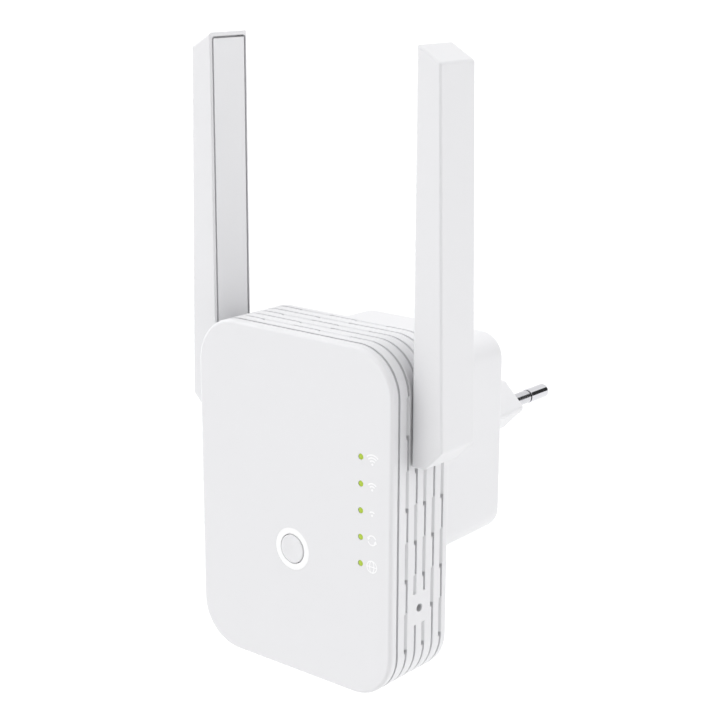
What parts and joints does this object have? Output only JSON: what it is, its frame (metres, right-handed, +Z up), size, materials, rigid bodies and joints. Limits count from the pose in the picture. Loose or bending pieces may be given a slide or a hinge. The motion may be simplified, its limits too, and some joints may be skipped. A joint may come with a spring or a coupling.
{
  "type": "wifi range extender",
  "caption": "Plug-in wifi range extender: rounded white body with vented ribbed sides, swivelling flat antennas, status lights, pairing button, rear block and mains plug.",
  "frame": {"origin": "centre of the mains plug's engagement face, midway between the pins", "axes": "+X to the right seen from the front, +Y into the wall socket, +Z up towards the antennas"},
  "size_m": [0.0816, 0.0987, 0.1582],
  "materials": {
    "white_plastic": "satin white moulded ABS",
    "bright_plastic": "glossier bright white plastic",
    "grey_plastic": "grey insulating plastic",
    "dark_plastic": "black moulded plastic",
    "light_green": "clear plastic lit yellow-green",
    "board_green": "solder mask on glass-fibre board",
    "board_tan": "bare phenolic board",
    "nickel": "nickel-plated brass",
    "steel": "zinc-plated steel",
    "brass": "sprung brass and gold-plated brass",
    "aluminium": "extruded aluminium",
    "ferrite": "sintered ferrite",
    "yellow_tape": "polyester tape over the windings",
    "capacitor_sleeve": "shrink sleeve over an aluminium can",
    "fuse_brown": "moulded radial fuse",
    "red_lead": "red PVC insulation",
    "black_lead": "black PVC insulation"
  },
  "bodies": {
    "housing": {"front_cover": "white_plastic", "vent_frame": "white_plastic", "rear_cover": "white_plastic", "button_ring": "bright_plastic", "dc_header": "bright_plastic", "pin_sleeve_left": "grey_plastic", "pin_sleeve_right": "grey_plastic", "board_coax_left": "grey_plastic", "board_coax_right": "grey_plastic", "reset_switch": "dark_plastic", "lan_jack": "dark_plastic", "processor": "dark_plastic", "bridge_rectifier": "dark_plastic", "light_pipe": "light_green", "led_1": "light_green", "led_2": "light_green", "led_3": "light_green", "led_4": "light_green", "led_5": "light_green", "main_board": "board_green", "supply_board": "board_tan", "pin_left": "nickel", "pin_right": "nickel", "case_screw_left": "steel", "case_screw_right": "steel", "board_screw_1": "steel", "board_screw_2": "steel", "supply_screw_1": "steel", "supply_screw_2": "steel", "wps_switch": "steel", "rf_shield": "steel", "pin_contact_left": "brass", "pin_contact_right": "brass", "coax_plug_left": "brass", "coax_plug_right": "brass", "heat_sink": "aluminium", "transformer_core": "ferrite", "transformer_winding": "yellow_tape", "bulk_capacitor": "capacitor_sleeve", "output_capacitor": "capacitor_sleeve", "mains_fuse": "fuse_brown", "dc_lead_positive": "red_lead", "dc_lead_negative": "black_lead"},
    "antenna_left": {"antenna_left_shell": "white_plastic", "antenna_left_panel": "white_plastic", "antenna_left_hub": "white_plastic", "antenna_left_washer": "steel", "antenna_left_clip": "steel", "antenna_left_element": "board_green", "antenna_left_coax": "grey_plastic"},
    "antenna_right": {"antenna_right_shell": "white_plastic", "antenna_right_panel": "white_plastic", "antenna_right_hub": "white_plastic", "antenna_right_washer": "steel", "antenna_right_clip": "steel", "antenna_right_element": "board_green", "antenna_right_coax": "grey_plastic"},
    "wps_button_body": {"wps_button": "white_plastic", "wps_plunger": "dark_plastic"},
    "reset_button_body": {"reset_plunger": "grey_plastic"}
  },
  "joints": [
    {"name": "antenna_left_hinge", "type": "hinge", "parent": "housing", "child": "antenna_left", "pos_m": [-0.0315, -0.0661, 0.012], "axis": [1, 0, 0], "range_deg": [0, 180]},
    {"name": "antenna_right_hinge", "type": "hinge", "parent": "housing", "child": "antenna_right", "pos_m": [0.0315, -0.0661, 0.012], "axis": [1, 0, 0], "range_deg": [0, 180]},
    {"name": "wps_button_press", "type": "slide", "parent": "housing", "child": "wps_button_body", "axis": [0, 1, 0], "range_m": [0, 0.0005], "stiffness_N_per_m": 300, "springref_m": -0.003},
    {"name": "reset_button_press", "type": "slide", "parent": "housing", "child": "reset_button_body", "axis": [-1, 0, 0], "range_m": [0, 0.0003], "stiffness_N_per_m": 200, "springref_m": -0.004}
  ]
}
